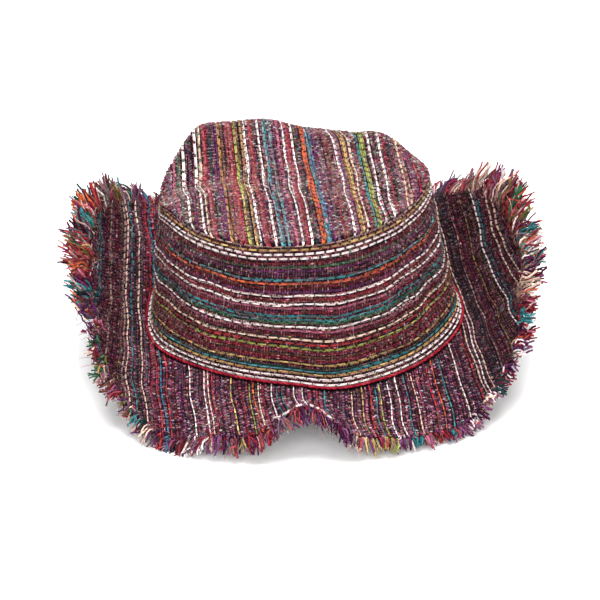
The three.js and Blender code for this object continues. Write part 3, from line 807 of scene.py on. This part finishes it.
# The brim: a flat ring of the striped cotton, two layers thick, with its stripes running
# from front to back. It curls up at both sides and folds up at the middle of the front.
BRIM_WIDTH = 65
WAVE_DEPTH = 0.9  # of the ripples at the woven edge
BRIM_TURNED_IN = 2  # how far the cloth goes in past the crown's foot
BRIM_FUZZ = 1800
FOLD_YARN = {"bearing": (-4.4, -2.2, -0.8, 3.3, 5, 8.2), "reach": (50, 60, 63.5, 62.5, 63.5, 62)}
FOLD_YARN_RADIUS, FOLD_YARN_SIDES = 0.75, 5
BRIM_STRIPES = (  # mm to the right of the middle of the flat ring
    (-163, "purple"), (-159, "green"), (-155, "crimson"), (-151, "white"), (-147, "purple"),
    (-143, "crimson"), (-139, "teal"), (-136, "teal"), (-131, "plum"), (-127.5, "maroon"), (-124, "beige"),
    (-120.5, "brown"), (-117, "maroon"), (-113.7, "olive"), (-111, "beige"), (-108.5, "cream"),
    (-104.6, "teal"), (-102, "bottle"), (-98.4, "cream"), (-95.6, "grey"), (-92.5, "crimson"),
    (-90, "red"), (-87.2, "blue"), (-84.4, "red"), (-80, "maroon"), (-76, "purple"), (-70, "white"),
    (-65.4, "grey"), (-61.6, "white"), (-59.2, "cream"), (-56.8, "red"), (-51, "grey"), (-45, "yellow"),
    (-39.8, "crimson"), (-34.6, "lime"), (-31.8, "orange"), (-29.2, "cream"), (-26.4, "crimson"),
    (-21.4, "white"), (-18, "teal"), (-15.2, "teal"), (-7.7, "white"), (-5.2, "purple"), (-2.8, "white"),
    (0.6, "crimson"), (2, "maroon"), (5.7, "red"), (10, "teal"), (16, "plum"), (21, "grey"),
    (26.2, "cream"), (32.6, "yellow"), (35.2, "pink"), (37.4, "red"), (41.2, "teal"), (44, "lime"),
    (49.2, "white"), (55.3, "white"),
    (60.8, "teal"), (66, "cream"), (69, "pink"), (76.6, "red"), (80.6, "orange"), (85.4, "teal"),
    (89, "purple"), (95, "white"), (99.5, "plum"), (104, "red"), (106.6, "cream"), (109.3, "white"),
    (112, "cream"), (114.8, "bottle"), (117.6, "bottle"), (121, "beige"), (124, "crimson"), (127, "maroon"),
    (130.5, "ochre"), (133.5, "brown"), (136.5, "olive"), (140, "white"), (143, "teal"), (146, "bottle"),
    (149, "crimson"), (152.5, "cream"), (155.5, "crimson"), (158.6, "cream"), (162, "plum"), (166, "maroon"),
    (170, "red"),
)


def brim_at(bearing, along_cloth):
    """The brim's upper face on a bearing, at mm along the cloth from the crown."""
    start = np.radians(slope_at_crown(bearing))
    bend = (np.radians(slope_at_edge(bearing)) - start) / BRIM_WIDTH
    bend = np.where(np.abs(bend) < 1e-5, 1e-5, bend)
    arc = np.clip(along_cloth, 0, BRIM_WIDTH)
    radius = base_radius(bearing) + (np.sin(start + bend * arc) - np.sin(start)) / bend
    height = base_height(bearing) - 0.35 + (np.cos(start) - np.cos(start + bend * arc)) / bend
    past = np.clip(along_cloth - BRIM_WIDTH, 0, None)
    last = start + bend * BRIM_WIDTH
    wave = (np.sin(np.radians(bearing * 17))
            + 0.7 * np.sin(np.radians(bearing * 29 + 40) + along_cloth / 15))
    wave = wave * WAVE_DEPTH * np.clip(arc / BRIM_WIDTH, 0, 1)
    lean = start + bend * arc
    radius = radius + past * np.cos(last) + np.minimum(along_cloth, 0) - wave * np.sin(lean)
    return standing(bearing, radius, height + past * np.sin(last) + wave * np.cos(lean)) + TO_PART


def brim_cloth(across, along):
    bearing, reach = turned(across, along)
    return brim_at(bearing, reach - base_radius(bearing))


def brim_corners(first, second):
    bearing = (first - 0.5) * 360
    return bearing, base_radius(bearing) - BRIM_TURNED_IN + second * (BRIM_WIDTH + BRIM_TURNED_IN)


brim_sheet = cloth_sheet(
    "brim_cloth", (240, 24),
    lambda first, second: sunk(brim_cloth, *unturned(*brim_corners(first, second))),
    lambda first, second: unturned(*brim_corners(first, second)),
    upwards, ground_material("brim_weave", (), -170, 170))
finish_mesh(brim_sheet, "brim")


def on_brim(across, along):
    bearing, reach = turned(across, along)
    from_crown = reach - base_radius(bearing)
    return (from_crown > 0.6) & (from_crown < BRIM_WIDTH + 0.8)


def in_shadow(across):
    """Painted shade: the yarns are darkened on the curled sides of the brim, where they lie in shade."""
    return np.interp(across, (-120, -80, 80, 120), (0.45, 1.0, 1.0, 0.36))


# A white yarn that has come up along the fold at the front, with a dip every few mm
fold_bearing = np.arange(FOLD_YARN["bearing"][0], FOLD_YARN["bearing"][-1], 0.25)
fold_dips = np.arange(len(fold_bearing)) % 9 < 2
path = brim_at(fold_bearing, np.interp(fold_bearing, FOLD_YARN["bearing"], FOLD_YARN["reach"]))
along_fold = np.gradient(path, axis=0)
along_fold /= np.linalg.norm(along_fold, axis=1, keepdims=True)
over_fold = np.cross(along_fold, np.array([0.0, -0.4, 1.0]))
over_fold /= np.linalg.norm(over_fold, axis=1, keepdims=True)
up_fold = np.cross(over_fold, along_fold)
path = path + up_fold * np.where(fold_dips, -0.4, 0.8)[:, None]
fold_rings = np.stack([path + (over_fold * math.cos(a) + up_fold * math.sin(a)) * FOLD_YARN_RADIUS
                       for a in np.arange(FOLD_YARN_SIDES) * 2 * math.pi / FOLD_YARN_SIDES], 1)
# At its dips the yarn is darkened to 0.1: partly the weft over it, partly painted shade in the gap.
fold_dye = np.array(DYES["white"]) * np.where(fold_dips, 0.1, 0.9)[:, None]
brim_yarns = [yarn_mesh("brim_fold_yarn", fold_rings, np.array([0]), fold_dye)]
# On both faces in_shadow darkens the yarns on the brim's curled sides: painted shade.
for face, seed, lift, flip in (("upper", 13, 0.0, 1), ("under", 14, 2.0, -1)):
    brim_yarns += weave(f"brim_{face}", brim_cloth, warp_places(-166.5, 174, BRIM_STRIPES),
                        np.arange(-103, 104), on_brim, seed=seed, pale=np.array((1.7, 1.4, 1.6)),
                        sway=tip_sway, lift=lift, flip=flip, painted_shade=in_shadow, bold=1.2)
bearing = fuzz_chance.uniform(-180, 180, BRIM_FUZZ)
reach = base_radius(bearing) + 2 + (BRIM_WIDTH - 2) * np.sqrt(fuzz_chance.random(BRIM_FUZZ))
brim_yarns.append(fuzz("brim_fuzz", "brim_cloth", brim_cloth, *unturned(bearing, reach), seed=19))


# The fringe: beyond its last weft yarn the cloth is frayed, and the loose ends stand out in
# tufts of one colour. They are long and straight at the sides, short and curled at the front.
TUFTS = 200
TUFT_STRANDS = 14
LOOSE_FIBRES = 2200
STRAND_STEPS, STRAND_SIDES = 6, 4
FIBRE_STEPS, FIBRE_SIDES = 5, 3
ROOTED = 3  # about how much of an end lies within the cloth
WING_DYES = (  # the ends at the two curled sides
    "crimson", "rose", "maroon", "cream", "beige", "purple", "teal", "grey", "plum", "white", "red",
    "brown", "orange", "pink", "plum", "crimson", "maroon", "beige", "purple", "green", "ochre",
    "bottle", "olive", "maroon",
)
FRONT_DYES = (  # the ends at the front and the back, between the stripes
    "purple", "mauve", "maroon", "rose", "purple", "grey", "plum", "mauve", "crimson", "mauve",
)
fringe_length, fringe_slope = (round_hat(BRIM_SHAPE, column) for column in ("fringe", "fringe_slope"))


def notch_share(bearing):
    """The ends are shorter where the front of the brim folds up."""
    return 1 - 0.4 * np.exp(-(bearing / 9) ** 2)


def strands(bearing, back, length, yaw, slope, curl, wave, thick, sides, steps):
    """Loose ends that grow from the woven edge on a bearing, as rings of corners. Each starts
    back from the edge, 1 mm below the cloth's face, and none goes through the table."""
    at = brim_at(bearing, BRIM_WIDTH - back) - np.array([0, 0, 1.0])
    edge = slope_at_edge(bearing)
    path, way = [at], []
    for k in range(steps):
        t = (k + 0.5) / steps
        rise = np.radians(edge + (slope - edge) * min(1.0, t * 1.6) + wave * math.sin(6.3 * t))
        turn = bearing + yaw * min(1.0, t * 2) + curl * (t - 0.3)
        step = standing(turn, np.cos(rise), np.sin(rise)) * (length / steps)[:, None]
        at = at + step
        at[:, 2] = np.maximum(at[:, 2], thick * 1.1)
        path.append(at)
        way.append(step)
    way.append(way[-1])
    taper = np.interp(np.linspace(0, 1, steps + 1), (0, 0.8, 1), (1, 1, 0.85))[None, :, None]
    return tubes(np.stack(path, 1), np.stack(way, 1), taper * thick[:, None, None], sides)


chance = np.random.default_rng(15)
tuft_bearing = (np.arange(TUFTS) + chance.uniform(-0.3, 0.3, TUFTS)) * 360 / TUFTS - 180
tuft_across, _ = unturned(tuft_bearing, base_radius(tuft_bearing) + BRIM_WIDTH)
spots = np.array([at for at, _ in BRIM_STRIPES])
near = np.abs(tuft_across[:, None] - spots).argmin(1)
hit = (np.abs(tuft_across - spots[near]) < 2.4) & (np.abs(tuft_bearing) > 9)
at_side = np.abs(tuft_across) > 125
tuft_dye = drawn_dyes(chance, WING_DYES, TUFTS)
ground_dye = drawn_dyes(chance, FRONT_DYES, TUFTS)
striped = np.array([DYES[BRIM_STRIPES[i][1]] for i in near])
tuft_dye = np.where(at_side[:, None], tuft_dye, np.where(hit[:, None], striped, ground_dye))
curly = np.interp(np.abs(tuft_bearing), (20, 60, 80, 130, 180), (1.0, 0.7, 0.2, 0.2, 0.8))
messy = np.where(tuft_bearing < 0, 1.0, 0.5)
tuft_yaw = chance.normal(0, 10 + 9 * messy + 13 * curly)
tuft_tilt = chance.normal(0, 8 + 5 * messy)
tuft_long = chance.uniform(0.7, 1.15, TUFTS) * (1 - 0.2 * curly) * notch_share(tuft_bearing)
own = np.repeat(np.arange(TUFTS), TUFT_STRANDS)
count = len(own)
bearing = tuft_bearing[own] + chance.normal(0, 0.5 + 0.3 * curly[own], count)
thick = chance.uniform(0.45, 0.75, count)
rings = strands(
    bearing, chance.uniform(0.5, 3.5, count),
    (fringe_length(bearing) + ROOTED) * tuft_long[own] * chance.uniform(0.72, 1.05, count),
    tuft_yaw[own] + chance.normal(0, 4 + 5 * messy[own], count),
    fringe_slope(bearing) + tuft_tilt[own]
    + chance.normal(0, 5 + 4 * messy[own] + 7 * curly[own], count),
    chance.normal(0, 10 + 16 * messy[own] + 50 * curly[own]),
    chance.normal(0, 6 + 10 * messy[own] + 32 * curly[own]), thick, STRAND_SIDES, STRAND_STEPS)
tone = tuft_dye[own] * chance.uniform(0.5, 1.1, (count, 1))
stray = chance.random(count) < np.where(at_side[own], 0.4, 0.45)
other = np.where(at_side[own, None], drawn_dyes(chance, WING_DYES, count),
                 drawn_dyes(chance, FRONT_DYES, count))
tone[stray] = other[stray]
fringe = yarn_mesh("brim_fringe_strands", rings, np.arange(count) * (STRAND_STEPS + 1),
                   np.repeat(np.clip(tone, 0.003, 0.9), STRAND_STEPS + 1, 0), "brim_fringe")

bearing = chance.uniform(-180, 180, LOOSE_FIBRES)
rings = strands(
    bearing, chance.uniform(0.5, 6, LOOSE_FIBRES),
    (fringe_length(bearing) + ROOTED) * chance.uniform(0.3, 0.9, LOOSE_FIBRES) * notch_share(bearing),
    chance.normal(0, 32, LOOSE_FIBRES), fringe_slope(bearing) + chance.normal(0, 26, LOOSE_FIBRES),
    chance.normal(0, 80, LOOSE_FIBRES), chance.normal(0, 40, LOOSE_FIBRES),
    chance.uniform(0.1, 0.18, LOOSE_FIBRES), FIBRE_SIDES, FIBRE_STEPS)
tone = drawn_dyes(chance, WING_DYES, LOOSE_FIBRES)
fibres = yarn_mesh("brim_fringe_fibres", rings,
                   np.arange(LOOSE_FIBRES) * (FIBRE_STEPS + 1), np.repeat(tone, FIBRE_STEPS + 1, 0))
